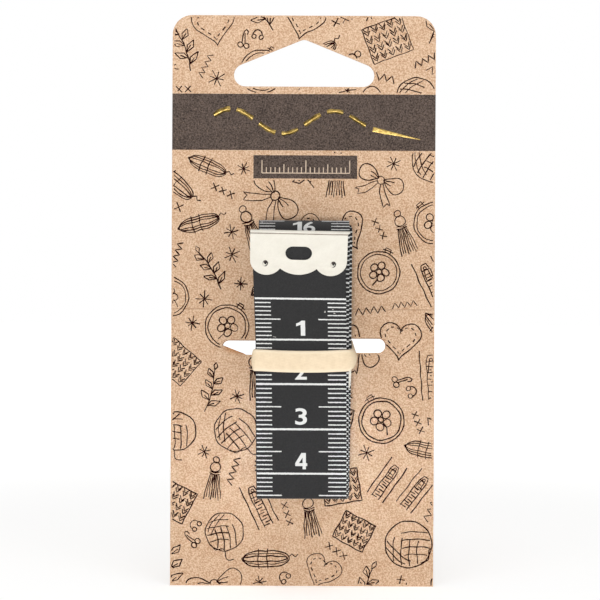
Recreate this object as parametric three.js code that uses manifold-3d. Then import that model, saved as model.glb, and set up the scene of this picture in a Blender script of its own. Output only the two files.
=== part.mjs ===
// Cloth tape measure, folded into a flat hank and held by an elastic band on a hanging card.
// Millimetres. X runs across the tape, Y from front to back, Z up.
// The origin is the top of the card's hang hole, in the middle of the card's thickness.

import * as THREE from 'three';
import { mergeVertices } from 'three/addons/utils/BufferGeometryUtils.js';
import Module from 'manifold-3d';

const wasm = await Module();
wasm.setup();

// Clearances
const SEAT_GAP = 0.3;             // between pieces that rest on or pass each other
const CLAMP_GAP = 0.1;            // between the tape and the metal folded round its end

// Card
const CARD_WIDTH = 60;
const CARD_HEIGHT = 130;
const CARD_THICKNESS = 0.6;
const CARD_CORNER_RADIUS = 4.5;

// Hang hole, a rounded triangle for a peg
const HANG_DROP = 5.5;            // from the card's top edge down to the hole
const HANG_WIDTH = 32;
const HANG_HEIGHT = 10.7;
const HANG_END_RADIUS = 2.6;
const HANG_APEX_RADIUS = 2;

// Slots that the band passes through
const SLOT_LENGTH = 9.3;
const SLOT_HEIGHT = 3.2;
const SLOT_RISE = 2.9;            // slot centre above the band's centre
const SLOT_INSET = 1.2;           // slot's inner end inside the band

// Elastic band
const BAND_DROP = 78.1;           // from the card's top edge down to the band's centre
const BAND_WIDTH = 4.8;
const BAND_THICKNESS = 0.8;
const BAND_CORNER_RADIUS = 1.4;   // at the middle of the band's thickness

// Tape and its hank
const TAPE_WIDTH = 20;
const TAPE_THICKNESS = 0.35;
const LAYER_GAP = 0.77;           // free space between layers where the band holds them
const LAYER_COUNT = 12;
const HANK_HEIGHT = 61.4;
const HANK_BELOW_BAND = 30.5;     // from the band's centre down to the lowest fold
const FOOT_TAPER = 0.25;          // share by which the layers close up towards the lowest folds
const DOME_HEIGHT = 5.2;          // of the turn that goes over the top of the folded layers
const DOME_ROOM = 1.3;            // free height under that turn
const DOME_FULLNESS = 1.45;       // its form: 2 is a round turn, less has flatter slopes

// Free end of the tape, in front of the hank
const LIFT_RISE = 2;              // its root above the band's top edge
const LIFT_GAP = 0.5;             // between its root and the front layer that it folds down over
const FREE_LENGTH = 26.3;         // from its root to the top of its metal tip
const FLARE_ANGLE = THREE.MathUtils.degToRad(26);
const FLARE_BEND_LENGTH = 3.2;    // length of the front layer that takes the bend, below the root

// Inner end of the tape, among the layers
const INNER_END_RISE = 1.8;       // top of its metal tip above the band's centre

// Metal tips, folded over each end
const TIP_OVERHANG = 0.4;         // past the tape's edge on each side
const TIP_SHEET = 0.3;
const TIP_LENGTH = 10.4;
const TIP_LOBE_RADIUS = 3.5;      // outer scallops
const TIP_CUSP_SPREAD = 7.9;      // between the two points of the scalloped edge
const TIP_MID_SAG = 1.45;         // depth of the middle scallop
const TIP_HOLE_LENGTH = 5.7;
const TIP_HOLE_HEIGHT = 3.2;
const TIP_HOLE_DROP = 5.1;        // from the tip's top to the hole's centre
const STAKE_RADIUS = 0.55;        // the two punched points that hold the tip on the tape
const STAKE_SPREAD = 14.6;
const STAKE_DROP = 7.7;
const STAKE_DIMPLE = 0.35;        // depth of the punch mark
const STAKE_WALL = 0.15;

// Facets
const CORNER_STEPS = 8;           // in a quarter circle of the card
const FOLD_STEPS = 6;             // in a half turn of the tape
const LEAF_STEPS = 8;             // along one layer
const DOME_STEPS = 16;

// Finishes
const KRAFT = new THREE.MeshStandardMaterial({ color: 0xcba789, roughness: 0.9, metalness: 0 });
const BLACK_CLOTH = new THREE.MeshStandardMaterial({ color: 0x3a3a3b, roughness: 0.6, metalness: 0 });
const CREAM_RUBBER = new THREE.MeshStandardMaterial({ color: 0xf6e2c3, roughness: 0.7, metalness: 0 });
const SATIN_STEEL = new THREE.MeshStandardMaterial({ color: 0xefeadf, roughness: 0.35, metalness: 0.8 });

// Sizes worked out from the ones above
const layerPitch = TAPE_THICKNESS + LAYER_GAP;
const tipWidth = TAPE_WIDTH + 2 * TIP_OVERHANG;
const tipHalfThickness = TAPE_THICKNESS / 2 + CLAMP_GAP + TIP_SHEET;
const tipPitch = Math.max(layerPitch, tipHalfThickness + SEAT_GAP + TAPE_THICKNESS / 2);
const frontLayer = LAYER_COUNT - 1;
const innerEndLayer = LAYER_COUNT - 3;
const hankBottom = -HANK_BELOW_BAND;
const hankTop = hankBottom + HANK_HEIGHT;
const liftHeight = BAND_WIDTH / 2 + LIFT_RISE;
const bandSide = tipWidth / 2 + SEAT_GAP + BAND_THICKNESS / 2;

// Frames that carry a flat outline into space. An outline of the card and the tips is drawn
// as seen from the front, and one of the tape as seen from its right-hand edge.
const FRONT_FRAME = new THREE.Matrix4().makeBasis(
  new THREE.Vector3(1, 0, 0), new THREE.Vector3(0, 0, 1), new THREE.Vector3(0, -1, 0));
const EDGE_FRAME = new THREE.Matrix4().makeBasis(
  new THREE.Vector3(0, -1, 0), new THREE.Vector3(0, 0, 1), new THREE.Vector3(-1, 0, 0));

function extrudeCentred(shape, depth, frame, curveSegments) {
  const geometry = new THREE.ExtrudeGeometry(shape, { depth, curveSegments, bevelEnabled: false });
  geometry.translate(0, 0, -depth / 2);
  return geometry.applyMatrix4(frame);
}

function toSolid(geometry) {
  const bare = geometry.clone();
  bare.deleteAttribute('normal');
  bare.deleteAttribute('uv');
  const merged = mergeVertices(bare);
  return new wasm.Manifold(new wasm.Mesh({
    numProp: 3,
    vertProperties: new Float32Array(merged.attributes.position.array),
    triVerts: new Uint32Array(merged.index.array),
  }));
}

function toGeometry(solid) {
  const mesh = solid.getMesh();
  const geometry = new THREE.BufferGeometry();
  geometry.setAttribute('position', new THREE.BufferAttribute(mesh.vertProperties, 3));
  geometry.setIndex(new THREE.BufferAttribute(mesh.triVerts, 1));
  geometry.computeVertexNormals();
  return geometry;
}

function named(name, geometry, material) {
  const mesh = new THREE.Mesh(geometry, material);
  mesh.name = name;
  return mesh;
}

// Card

// An outline round circles that are listed counter-clockwise, with straight lines between them
function hullOfCircles(circles) {
  const path = new THREE.Path();
  const leaving = circles.map((circle, i) => {
    const next = circles[(i + 1) % circles.length];
    const across = next.centre.clone().sub(circle.centre);
    const turn = Math.acos((circle.radius - next.radius) / across.length());
    return across.angle() - turn;
  });
  circles.forEach((circle, i) => {
    const arriving = leaving[(i + circles.length - 1) % circles.length];
    path.absarc(circle.centre.x, circle.centre.y, circle.radius, arriving, leaving[i], false);
  });
  path.closePath();
  return path;
}

function hangHole() {
  const endX = HANG_WIDTH / 2 - HANG_END_RADIUS;
  const endZ = -HANG_HEIGHT + HANG_END_RADIUS;
  return hullOfCircles([
    { centre: new THREE.Vector2(-endX, endZ), radius: HANG_END_RADIUS },
    { centre: new THREE.Vector2(endX, endZ), radius: HANG_END_RADIUS },
    { centre: new THREE.Vector2(0, -HANG_APEX_RADIUS), radius: HANG_APEX_RADIUS },
  ]);
}

function bandSlot(side, slotZ) {
  const radius = SLOT_HEIGHT / 2;
  const innerX = bandSide - BAND_THICKNESS / 2 - SLOT_INSET;
  const centres = [innerX + radius, innerX + SLOT_LENGTH - radius].map((x) => x * side);
  return hullOfCircles([
    { centre: new THREE.Vector2(Math.min(...centres), slotZ), radius },
    { centre: new THREE.Vector2(Math.max(...centres), slotZ), radius },
  ]);
}

function backingCard(cardTop, bandZ) {
  const half = CARD_WIDTH / 2;
  const bottom = cardTop - CARD_HEIGHT;
  const cornerX = half - CARD_CORNER_RADIUS;
  const cornerZ = cardTop - CARD_CORNER_RADIUS;
  const outline = new THREE.Shape();
  outline.moveTo(-half, bottom);
  outline.lineTo(half, bottom);
  outline.absarc(cornerX, cornerZ, CARD_CORNER_RADIUS, 0, Math.PI / 2, false);
  outline.absarc(-cornerX, cornerZ, CARD_CORNER_RADIUS, Math.PI / 2, Math.PI, false);
  outline.closePath();
  outline.holes.push(hangHole(), bandSlot(-1, bandZ + SLOT_RISE), bandSlot(1, bandZ + SLOT_RISE));
  return named('backing_card', extrudeCentred(outline, CARD_THICKNESS, FRONT_FRAME, CORNER_STEPS), KRAFT);
}

// Tape. Its line is drawn in the plane of its edge: x is the distance in front of the card and
// y the height above the band's centre. Layer 0 lies on the card.

// Where each layer lies at the band, with room for the metal tip among the layers
const layerDepth = [SEAT_GAP + TAPE_THICKNESS / 2];
for (let layer = 1; layer < LAYER_COUNT; layer += 1) {
  const besideTip = layer === innerEndLayer || layer === innerEndLayer + 1;
  layerDepth.push(layerDepth[layer - 1] + (besideTip ? tipPitch : layerPitch));
}

// The layers stand even above the band and close up a little below it
function depthAt(layer, height) {
  const share = Math.min(height, 0) / HANK_BELOW_BAND;
  return layerDepth[0] + (layerDepth[layer] - layerDepth[0]) * (1 - FOOT_TAPER * share * share);
}

const domeBase = hankTop - TAPE_THICKNESS / 2 - DOME_HEIGHT;
const domeFront = depthAt(frontLayer - 1, domeBase);
const domeMiddle = (domeFront + layerDepth[0]) / 2;
const domeRadius = (domeFront - layerDepth[0]) / 2;

// The dome's height at a share of its half width, as a share of its full height
function domeProfile(share) {
  return (1 - share ** DOME_FULLNESS) ** (1 / DOME_FULLNESS);
}

// Height at which a layer turns into the next one at the top, under the dome
function innerTurnHeight(layer) {
  const reach = (depthAt(layer, domeBase) - domeMiddle) / (domeRadius - layerPitch);
  const crown = (DOME_HEIGHT - DOME_ROOM) * domeProfile(Math.min(1, Math.abs(reach)));
  return domeBase + crown - layerPitch;
}

function halfTurn(points, fromLayer, toLayer, height, upward) {
  const start = depthAt(fromLayer, height);
  const radius = (depthAt(toLayer, height) - start) / 2;
  for (let step = 1; step < FOLD_STEPS; step += 1) {
    const angle = Math.PI * step / FOLD_STEPS;
    const rise = Math.abs(radius) * Math.sin(angle) * (upward ? 1 : -1);
    points.push(new THREE.Vector2(start + radius * (1 - Math.cos(angle)), height + rise));
  }
}

function dome(points) {
  for (let step = 1; step < DOME_STEPS; step += 1) {
    const angle = Math.PI * step / DOME_STEPS;
    const share = Math.abs(Math.cos(angle)) ** (2 / DOME_FULLNESS);
    points.push(new THREE.Vector2(
      domeMiddle + domeRadius * Math.sign(Math.cos(angle)) * share,
      domeBase + DOME_HEIGHT * domeProfile(share)));
  }
}

function leaf(points, layer, from, to) {
  for (let step = 0; step <= LEAF_STEPS; step += 1) {
    const height = THREE.MathUtils.lerp(from, to, step / LEAF_STEPS);
    points.push(new THREE.Vector2(depthAt(layer, height), height));
  }
}

// Height at which two layers start their turn at the bottom, so that the fold reaches the hank's foot
function bottomTurnHeight(layerA, layerB) {
  const radius = Math.abs(depthAt(layerA, hankBottom) - depthAt(layerB, hankBottom)) / 2;
  return hankBottom + TAPE_THICKNESS / 2 + radius;
}

// The front layer leaves the band upright and bends forward to the root of the free end
const bendRadius = FLARE_BEND_LENGTH / FLARE_ANGLE;
const bendFoot = liftHeight - bendRadius * Math.sin(FLARE_ANGLE);

function bendPoint(angle) {
  return new THREE.Vector2(
    depthAt(frontLayer, bendFoot) + bendRadius * (1 - Math.cos(angle)),
    bendFoot + bendRadius * Math.sin(angle));
}

// The hank's line from the root of the free end to the inner end: down the front, up behind it,
// over the top of everything, down the back, then to and fro until the layers meet the second one
function hankLine() {
  const points = [];
  const firstFold = bottomTurnHeight(frontLayer, frontLayer - 1);
  const bendEnd = FLARE_ANGLE * (1 - LIFT_GAP / FLARE_BEND_LENGTH);
  for (let step = FOLD_STEPS; step > 0; step -= 1) {
    points.push(bendPoint(bendEnd * step / FOLD_STEPS));
  }
  leaf(points, frontLayer, bendFoot, firstFold);
  halfTurn(points, frontLayer, frontLayer - 1, firstFold, false);
  leaf(points, frontLayer - 1, firstFold, domeBase);
  dome(points);
  let height = domeBase;
  for (let layer = 0; layer <= innerEndLayer; layer += 1) {
    const goingDown = layer % 2 === 0;
    if (layer === innerEndLayer) {
      const tipTop = INNER_END_RISE - tipHalfThickness;
      const tipFoot = INNER_END_RISE - TIP_LENGTH - SEAT_GAP;
      const nearEnd = goingDown ? tipTop : tipFoot;
      const farEnd = goingDown ? tipFoot : tipTop;
      leaf(points, layer, height, nearEnd);
      points.push(new THREE.Vector2(depthAt(layer, nearEnd), farEnd));
      break;
    }
    const lower = bottomTurnHeight(layer, layer + 1);
    const upper = Math.min(innerTurnHeight(layer), innerTurnHeight(layer + 1));
    const turn = goingDown ? lower : upper;
    leaf(points, layer, height, turn);
    halfTurn(points, layer, layer + 1, turn, !goingDown);
    height = turn;
  }
  return points;
}

// The free end springs away from the hank, straight from its root to its tip
function freeEndLine() {
  const root = bendPoint(FLARE_ANGLE);
  const along = new THREE.Vector2(Math.sin(FLARE_ANGLE), Math.cos(FLARE_ANGLE));
  return [root, root.clone().addScaledVector(along, FREE_LENGTH - tipHalfThickness)];
}

// A strip of tape that follows a line, as one outline down one face and back up the other
function tapeStrip(line) {
  const offsets = line.map((point, i) => {
    const before = line[Math.max(i - 1, 0)];
    const after = line[Math.min(i + 1, line.length - 1)];
    const arriving = point.clone().sub(before).normalize();
    const leaving = after.clone().sub(point).normalize();
    const along = arriving.clone().add(leaving).normalize();
    const widen = 1 / Math.max(along.dot(i > 0 ? arriving : leaving), 0.5);
    return new THREE.Vector2(-along.y, along.x).multiplyScalar(widen * TAPE_THICKNESS / 2);
  });
  const oneFace = line.map((point, i) => point.clone().add(offsets[i]));
  const otherFace = line.map((point, i) => point.clone().sub(offsets[i]));
  const outline = new THREE.Shape([...oneFace, ...otherFace.reverse()]);
  return extrudeCentred(outline, TAPE_WIDTH, EDGE_FRAME, 1);
}

// Least free space between two layers, on points along the tape's line at least half a turn apart
function leastLayerGap(line) {
  const spacing = TAPE_THICKNESS / 2;
  const halfTurnLength = Math.PI * layerPitch / 2;
  const path = new THREE.Path(line);
  const samples = path.getSpacedPoints(Math.ceil(path.getLength() / spacing));
  const skip = Math.ceil(halfTurnLength / spacing);
  let least = Infinity;
  for (let i = 0; i < samples.length; i += 1) {
    for (let j = i + skip; j < samples.length; j += 1) {
      least = Math.min(least, samples[i].distanceToSquared(samples[j]));
    }
  }
  return Math.sqrt(least) - TAPE_THICKNESS;
}

// Metal tips. A tip's own frame has its origin at the top of its fold, with the tape below it.

// Seen from the front: a straight top, rounded outer scallops, and a flatter one between two points
function tipOutline() {
  const half = tipWidth / 2;
  const lobeX = half - TIP_LOBE_RADIUS;
  const lobeZ = TIP_LOBE_RADIUS - TIP_LENGTH;
  const cuspX = TIP_CUSP_SPREAD / 2;
  const cuspAngle = Math.acos((cuspX - lobeX) / TIP_LOBE_RADIUS);
  const cuspZ = lobeZ - TIP_LOBE_RADIUS * Math.sin(cuspAngle);
  const midRadius = (cuspX * cuspX + TIP_MID_SAG * TIP_MID_SAG) / (2 * TIP_MID_SAG);
  const midAngle = Math.asin(cuspX / midRadius);
  const midZ = cuspZ + midRadius * Math.cos(midAngle);
  const down = -Math.PI / 2;
  const outline = new THREE.Shape();
  outline.moveTo(half, 0);
  outline.lineTo(-half, 0);
  outline.absarc(-lobeX, lobeZ, TIP_LOBE_RADIUS, -Math.PI, cuspAngle - Math.PI, false);
  outline.absarc(0, midZ, midRadius, down - midAngle, down + midAngle, false);
  outline.absarc(lobeX, lobeZ, TIP_LOBE_RADIUS, -cuspAngle, 0, false);
  outline.closePath();
  const holeRadius = TIP_HOLE_HEIGHT / 2;
  const holeX = TIP_HOLE_LENGTH / 2 - holeRadius;
  outline.holes.push(hullOfCircles([
    { centre: new THREE.Vector2(-holeX, -TIP_HOLE_DROP), radius: holeRadius },
    { centre: new THREE.Vector2(holeX, -TIP_HOLE_DROP), radius: holeRadius },
  ]));
  return outline;
}

// Seen from the edge: one sheet folded into a narrow U, open below
function tipFold() {
  const outer = tipHalfThickness;
  const inner = outer - TIP_SHEET;
  const fold = new THREE.Shape();
  fold.moveTo(outer, -TIP_LENGTH - TIP_MID_SAG);
  fold.absarc(0, -outer, outer, 0, Math.PI, false);
  fold.lineTo(-outer, -TIP_LENGTH - TIP_MID_SAG);
  fold.lineTo(-inner, -TIP_LENGTH - TIP_MID_SAG);
  fold.absarc(0, -outer, inner, Math.PI, 0, true);
  fold.lineTo(inner, -TIP_LENGTH - TIP_MID_SAG);
  fold.closePath();
  return fold;
}

// A round bar through the tip at one of its punched points
function stakeBar(side, radius, from, to) {
  const bar = new THREE.CylinderGeometry(radius, radius, to - from, 2 * CORNER_STEPS);
  return bar.translate(side * STAKE_SPREAD / 2, (from + to) / 2, -STAKE_DROP);
}

function tipGeometry() {
  const sheet = toSolid(extrudeCentred(tipFold(), tipWidth, EDGE_FRAME, CORNER_STEPS));
  const cutter = toSolid(extrudeCentred(tipOutline(), 4 * tipHalfThickness, FRONT_FRAME, CORNER_STEPS));
  let tip = sheet.intersect(cutter);
  for (const side of [-1, 1]) {
    const middleOfSheet = tipHalfThickness - TIP_SHEET / 2;
    const post = toSolid(stakeBar(side, STAKE_RADIUS, -middleOfSheet, middleOfSheet));
    const punch = toSolid(stakeBar(
      side, STAKE_RADIUS - STAKE_WALL, -2 * tipHalfThickness, STAKE_DIMPLE - tipHalfThickness));
    tip = tip.add(post).subtract(punch);
  }
  return toGeometry(tip);
}

// Puts a tip on the end of a line of tape
function seatTip(tip, line) {
  const end = line[line.length - 1];
  const along = end.clone().sub(line[line.length - 2]).normalize();
  const top = end.clone().add(along.clone().multiplyScalar(tipHalfThickness));
  tip.position.set(0, -top.x, top.y);
  tip.rotation.x = Math.atan2(along.x, along.y);
  tip.updateMatrix();
}

// Holes in the tape where a tip's punched points pass through
function punchTape(geometry, tip) {
  let solid = toSolid(geometry);
  for (const side of [-1, 1]) {
    const bar = stakeBar(side, STAKE_RADIUS + CLAMP_GAP, -tipHalfThickness, tipHalfThickness);
    solid = solid.subtract(toSolid(bar.applyMatrix4(tip.matrix)));
  }
  return toGeometry(solid);
}

// Elastic band, a flat loop round the hank that passes through both slots and behind the card

// One quarter of the loop, as seen from above: x across, y towards the front, with the band's
// centre height and its width there
function bandStations() {
  const front = depthAt(frontLayer, 0) + TAPE_THICKNESS / 2 + SEAT_GAP + BAND_THICKNESS / 2;
  const back = -CARD_THICKNESS - SEAT_GAP - BAND_THICKNESS / 2;
  const slotWidth = Math.min(BAND_WIDTH, SLOT_HEIGHT - 2 * SEAT_GAP);
  const cornerX = bandSide - BAND_CORNER_RADIUS;
  const stations = [];
  const add = (x, y, height, width) => stations.push({ x, y, height, width });
  const corner = (centreY, fromAngle, height, width) => {
    for (let step = 0; step <= CORNER_STEPS / 2; step += 1) {
      const angle = fromAngle - Math.PI * step / CORNER_STEPS;
      add(cornerX + BAND_CORNER_RADIUS * Math.cos(angle),
        centreY + BAND_CORNER_RADIUS * Math.sin(angle), height, width);
    }
  };
  add(0, front, 0, BAND_WIDTH);
  add(cornerX / 2, front, 0, BAND_WIDTH);
  corner(front - BAND_CORNER_RADIUS, Math.PI / 2, 0, BAND_WIDTH);
  add(bandSide, SEAT_GAP, SLOT_RISE, slotWidth);
  corner(back + BAND_CORNER_RADIUS, 0, SLOT_RISE, slotWidth);
  add(cornerX / 2, back, SLOT_RISE, (slotWidth + BAND_WIDTH) / 2);
  add(0, back, SLOT_RISE, BAND_WIDTH);
  return stations;
}

function elasticBand() {
  const right = bandStations();
  const left = right.slice(1, -1).reverse().map((station) => ({ ...station, x: -station.x }));
  const loop = [...right, ...left];
  const positions = [];
  loop.forEach((station, i) => {
    const before = loop[(i + loop.length - 1) % loop.length];
    const after = loop[(i + 1) % loop.length];
    const along = new THREE.Vector2(after.x - before.x, after.y - before.y).normalize();
    const outX = -along.y * BAND_THICKNESS / 2;
    const outY = along.x * BAND_THICKNESS / 2;
    for (const [face, edge] of [[1, -1], [1, 1], [-1, 1], [-1, -1]]) {
      positions.push(
        station.x + face * outX, -station.y - face * outY, station.height + edge * station.width / 2);
    }
  });
  const indices = [];
  loop.forEach((station, i) => {
    const next = (i + 1) % loop.length;
    for (let corner = 0; corner < 4; corner += 1) {
      const a = 4 * i + corner;
      const b = 4 * i + (corner + 1) % 4;
      const c = 4 * next + (corner + 1) % 4;
      const d = 4 * next + corner;
      indices.push(a, c, b, a, d, c);
    }
  });
  const geometry = new THREE.BufferGeometry();
  geometry.setAttribute('position', new THREE.Float32BufferAttribute(positions, 3));
  geometry.setIndex(indices);
  geometry.computeVertexNormals();
  return named('elastic_band', geometry, CREAM_RUBBER);
}

// Assembly

const cardTop = HANG_DROP;
const bandZ = cardTop - BAND_DROP;
const hank = hankLine();
const freeEnd = freeEndLine();
const tipShape = tipGeometry();

const innerTip = named('inner_end_tip', tipShape, SATIN_STEEL);
seatTip(innerTip, hank);
const freeTip = named('free_end_tip', tipShape, SATIN_STEEL);
seatTip(freeTip, freeEnd);

// What hangs in front of the card is placed from the card's face and the band's centre
const onCard = new THREE.Group();
onCard.position.set(0, -CARD_THICKNESS / 2, bandZ);
onCard.add(elasticBand());
onCard.add(named('tape_hank', punchTape(tapeStrip(hank), innerTip), BLACK_CLOTH));
onCard.add(innerTip);
onCard.add(named('tape_free_end', punchTape(tapeStrip(freeEnd), freeTip), BLACK_CLOTH));
onCard.add(freeTip);

const tapeMeasure = new THREE.Group();
tapeMeasure.add(backingCard(cardTop, bandZ), onCard);

console.log(`least gap between tape layers: ${leastLayerGap(hank).toFixed(2)} mm`);
console.log(`tape in the hank: ${new THREE.Path(hank).getLength().toFixed(0)} mm`);
console.log(`free end turns about y ${(-CARD_THICKNESS / 2 - freeEnd[0].x).toFixed(3)},`
  + ` z ${(bandZ + liftHeight).toFixed(3)}`);

export default tapeMeasure;
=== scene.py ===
import random
from math import atan2, ceil, copysign, cos, exp, floor, hypot, pi, radians, sin, sqrt, tau

import bmesh
import bpy
from mathutils import Matrix, Vector


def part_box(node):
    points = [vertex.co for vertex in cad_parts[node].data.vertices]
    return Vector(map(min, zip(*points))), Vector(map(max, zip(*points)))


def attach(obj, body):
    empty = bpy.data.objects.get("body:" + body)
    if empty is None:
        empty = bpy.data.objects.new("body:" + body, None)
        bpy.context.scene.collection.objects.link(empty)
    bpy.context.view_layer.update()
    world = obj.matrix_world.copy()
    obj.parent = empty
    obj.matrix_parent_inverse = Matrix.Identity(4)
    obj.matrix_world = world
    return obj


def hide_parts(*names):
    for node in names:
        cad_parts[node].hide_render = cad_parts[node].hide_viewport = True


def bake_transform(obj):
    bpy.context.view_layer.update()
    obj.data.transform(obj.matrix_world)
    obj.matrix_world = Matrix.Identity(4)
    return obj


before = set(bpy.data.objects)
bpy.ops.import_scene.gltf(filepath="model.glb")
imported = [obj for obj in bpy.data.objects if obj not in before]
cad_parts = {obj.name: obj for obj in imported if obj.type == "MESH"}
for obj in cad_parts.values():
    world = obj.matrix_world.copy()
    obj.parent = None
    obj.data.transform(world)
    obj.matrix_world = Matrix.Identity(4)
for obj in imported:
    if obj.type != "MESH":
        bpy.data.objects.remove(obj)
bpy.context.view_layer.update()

mm = 0.001
cardFront = -0.3  # y of the card's front face, in mm
bandHeight = -72.6  # z of the band's centre, in mm
rng = random.Random(41)


# Small helpers

def setAll(thing, values):
    for name, value in values.items():
        setattr(thing, name, value)


def leaveEdit():
    bpy.ops.object.mode_set(mode="OBJECT")


def clearSelection():
    if bpy.context.object and bpy.context.object.mode != "OBJECT":
        leaveEdit()
    bpy.ops.object.select_all(action="DESELECT")


def pick(obj):
    clearSelection()
    obj.select_set(True)
    bpy.context.view_layer.objects.active = obj


def applyPlace(obj, **moves):
    setAll(obj, moves)
    pick(obj)
    bpy.ops.object.transform_apply(location=True, rotation=True, scale=True)


def addModifier(obj, kind, **settings):
    pick(obj)
    modifier = obj.modifiers.new(kind.lower(), kind)
    setAll(modifier, settings)
    bpy.ops.object.modifier_apply(modifier=modifier.name)


def editParts(obj, tool, test=None, mode="FACE", **settings):  # an edit-mode tool on the parts that pass
    pick(obj)
    bpy.ops.object.mode_set(mode="EDIT")
    bpy.ops.mesh.select_mode(type=mode)
    bpy.ops.mesh.select_all(action="DESELECT" if test else "SELECT")
    if test:
        mesh = bmesh.from_edit_mesh(obj.data)
        for part in {"FACE": mesh.faces, "EDGE": mesh.edges, "VERT": mesh.verts}[mode]:
            if test(part):
                part.select_set(True)
        bmesh.update_edit_mesh(obj.data)
    tool(**settings)
    leaveEdit()


def newObject(name, data):
    obj = bpy.data.objects.new(name, data)
    bpy.context.scene.collection.objects.link(obj)
    return obj


def addShape(name, add, **settings):  # a primitive with its place applied
    clearSelection()
    add(**settings)
    obj = bpy.context.object
    obj.name = name
    applyPlace(obj)
    return obj


def copyOfNode(name, nodeName):  # a merged copy of a CAD node as a new object
    obj = newObject(name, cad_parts[nodeName].data.copy())
    obj.data.materials.clear()
    editParts(obj, bpy.ops.mesh.remove_doubles, mode="VERT", threshold=0.001 * mm)
    return obj


def newMesh(name, points, faces, unit=mm):
    mesh = bpy.data.meshes.new(name)
    mesh.from_pydata([[value * unit for value in point] for point in points], [], faces)
    mesh.update()
    return newObject(name, mesh)


def wear(obj, *materials):
    for material in materials:
        obj.data.materials.append(material)


def smoothShade(obj, degrees):
    pick(obj)
    bpy.ops.object.shade_smooth_by_angle(angle=radians(degrees))


def addValues(obj, name, values):  # one number per corner, for its material
    obj.data.attributes.new(name, "FLOAT", "POINT").data.foreach_set("value", values)


# Shader helpers: a socket knows its tree, so most of them take only what goes in

def isSocket(value):
    return isinstance(value, bpy.types.NodeSocket)


def feed(value, socket):
    if isSocket(value):
        socket.id_data.links.new(value, socket)
    else:
        socket.default_value = value


def addNode(tree, kind, values=None, **settings):
    made = tree.nodes.new("ShaderNode" + kind)
    setAll(made, settings)
    for name, value in (values or {}).items():
        feed(value, made.inputs[name])
    return made


def joinNode(kind, values, **settings):  # a node in the tree of the sockets that it takes
    tree = next(value.id_data for value in values.values() if isSocket(value))
    return addNode(tree, kind, values, **settings).outputs


def maths(operation):
    return lambda *values: joinNode("Math", dict(enumerate(values)), operation=operation)[0]


times, plus, minus, over = (maths(name) for name in ("MULTIPLY", "ADD", "SUBTRACT", "DIVIDE"))
least, most, moreThan, lessThan = (maths(name) for name in ("MINIMUM", "MAXIMUM", "GREATER_THAN",
                                                            "LESS_THAN"))
absolute, squareRoot, sine, nearest = (maths(name) for name in ("ABSOLUTE", "SQRT", "SINE", "ROUND"))


def between(value, low, high):  # 1 inside the two limits
    return times(moreThan(value, low), lessThan(value, high))


def mixColour(factor, first, second):
    return joinNode("Mix", {0: factor, 6: first, 7: second}, data_type="RGBA")[2]


def remap(value, low, high, newLow=0.0, newHigh=1.0, smooth=False):
    return joinNode("MapRange", dict(enumerate((value, low, high, newLow, newHigh))),
                    interpolation_type="SMOOTHSTEP" if smooth else "LINEAR")[0]


def noise(vector, scale, detail=2.0, rough=0.5, distortion=0.0):
    return joinNode("TexNoise", {"Vector": vector, "Scale": scale, "Detail": detail,
                                 "Roughness": rough, "Distortion": distortion})[0]


def turned(vector, angles, scale=(1, 1, 1)):  # turned first, then drawn out by the scale
    return joinNode("Mapping", {"Vector": vector, "Rotation": angles, "Scale": scale}, vector_type="TEXTURE")[0]


def bump(height, strength, distance):
    return joinNode("Bump", {"Height": height, "Strength": strength, "Distance": distance})[0]


def split(vector):
    return joinNode("SeparateXYZ", {"Vector": vector})


def useGroup(group, **values):
    return joinNode("Group", values, node_tree=group)


def newGroup(name, inputs, outputs):
    group = bpy.data.node_groups.new(name, "ShaderNodeTree")
    for label, value in inputs.items():
        kind = "NodeSocketVector" if value is None else "NodeSocketFloat"
        socket = group.interface.new_socket(label, in_out="INPUT", socket_type=kind)
        if value is not None:
            socket.default_value = value
    for label in outputs:
        group.interface.new_socket(label, in_out="OUTPUT", socket_type="NodeSocketFloat")
    return group, group.nodes.new("NodeGroupInput").outputs, group.nodes.new("NodeGroupOutput").inputs


def newMaterial(name, rough=0.5, shine=0.5, **values):  # with object coordinates and the surface's inputs
    material = bpy.data.materials.new(name)
    material.use_nodes = True
    surface = material.node_tree.nodes["Principled BSDF"].inputs
    values.update({"Roughness": rough, "Specular IOR Level": shine})
    for label, value in values.items():
        surface[label].default_value = value
    return material, addNode(material.node_tree, "TexCoord").outputs["Object"], surface


def coat(surface, colour, rough, normal=None):
    feed(colour, surface["Base Color"])
    feed(rough, surface["Roughness"])
    if normal:
        feed(normal, surface["Normal"])


def cornerValue(material, name):
    return addNode(material.node_tree, "Attribute", attribute_name=name).outputs["Fac"]


# Shared effects

def makePaperGrain():
    group, given, out = newGroup("paperGrain", {"Vector": None, "Size": 900.0}, ["Tone", "Fibre", "Height"])
    vector, scale = given["Vector"], given["Size"]
    cloud = noise(vector, times(scale, 0.3), 2.0)
    grain = noise(vector, times(scale, 3.1), 3.0, 0.65)
    fibres = []
    for angle, seed in ((0.5, 0.31), (-0.9, 1.7), (1.9, 2.9)):  # short strands in three directions
        strand = turned(vector, (0, angle, seed), (1, 1, 4))
        fibres.append(noise(strand, times(scale, 4.0), 1.0, 0.5, 0.6))
    dark = most(fibres[0], most(fibres[1], fibres[2]))
    tone = plus(times(cloud, 0.12), times(grain, 0.88))
    feed(tone, out["Tone"])
    feed(remap(dark, 0.64, 0.8, smooth=True), out["Fibre"])
    feed(plus(tone, times(dark, 0.4)), out["Height"])
    return group


def makeInkCover():
    group, given, out = newGroup("inkCover", {"Vector": None, "Size": 3000.0, "Loss": 0.3}, ["Cover"])
    grain = noise(given["Vector"], given["Size"], 2.0, 0.6)
    softEdge = plus(given["Loss"], 0.12)
    feed(remap(grain, given["Loss"], softEdge, smooth=True), out["Cover"])
    return group


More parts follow.
